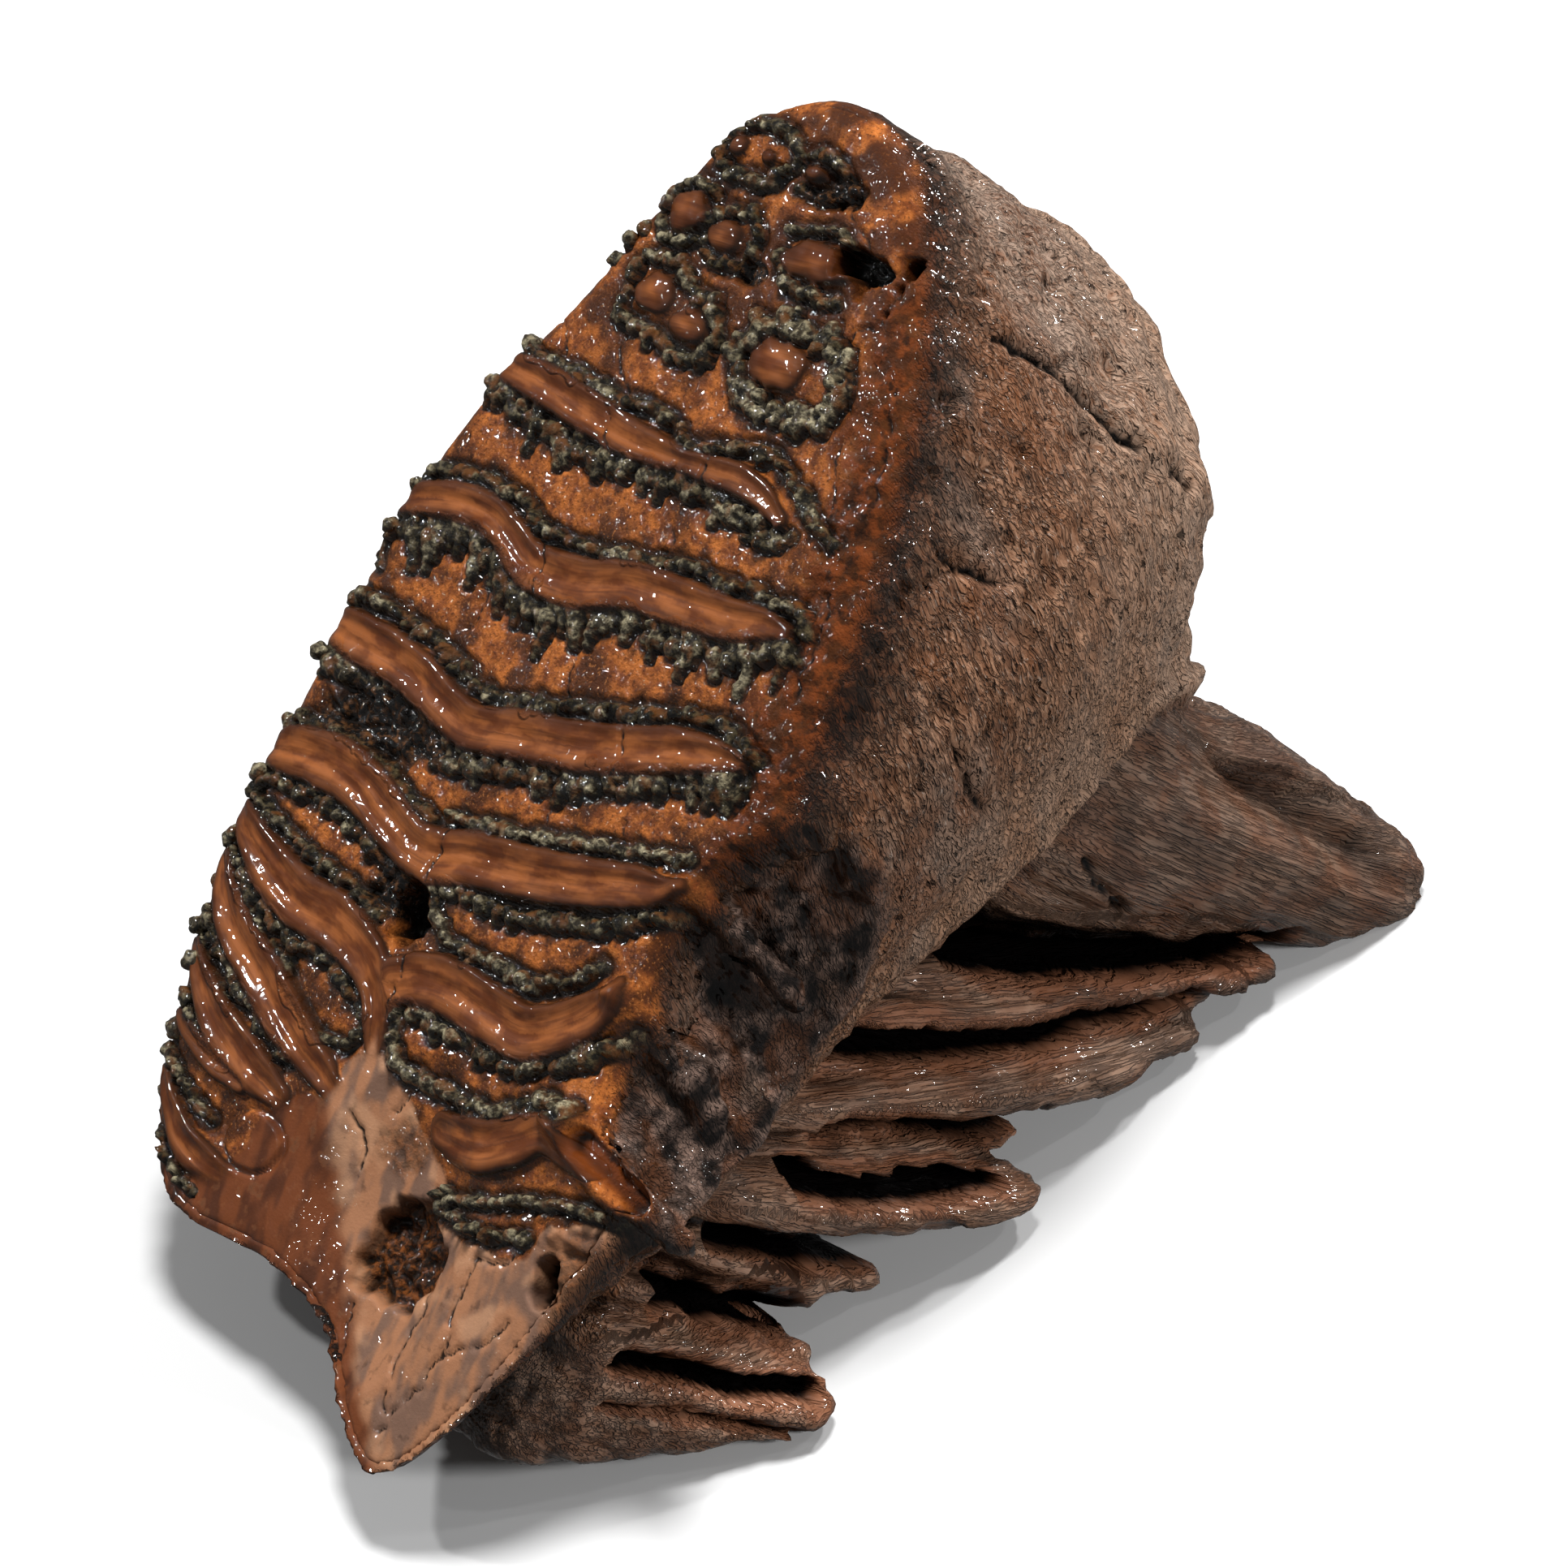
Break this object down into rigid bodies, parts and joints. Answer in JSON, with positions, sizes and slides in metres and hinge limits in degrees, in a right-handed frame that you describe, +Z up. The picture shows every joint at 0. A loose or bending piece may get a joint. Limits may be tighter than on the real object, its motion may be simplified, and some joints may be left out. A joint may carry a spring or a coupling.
{
  "type": "fossil mammoth tooth",
  "caption": "Loose fossil molar of a mammoth: ridged chewing face worn to a slope, high cement crown and a fan of swept-back roots it rests on.",
  "frame": {"origin": "middle of the bounding box, on the ground that the root ends rest on", "axes": "+X runs back along the tooth, from the worn front tip to the rear root; +Y away from the cheek side; +Z up"},
  "size_m": [0.213, 0.1172, 0.1597],
  "materials": {
    "fossil_tooth": "lacquered brown fossil cement, dentine and grey enamel, glossy on the worn face and satin on the sides"
  },
  "bodies": {
    "root": {"tooth": "fossil_tooth"}
  },
  "joints": []
}
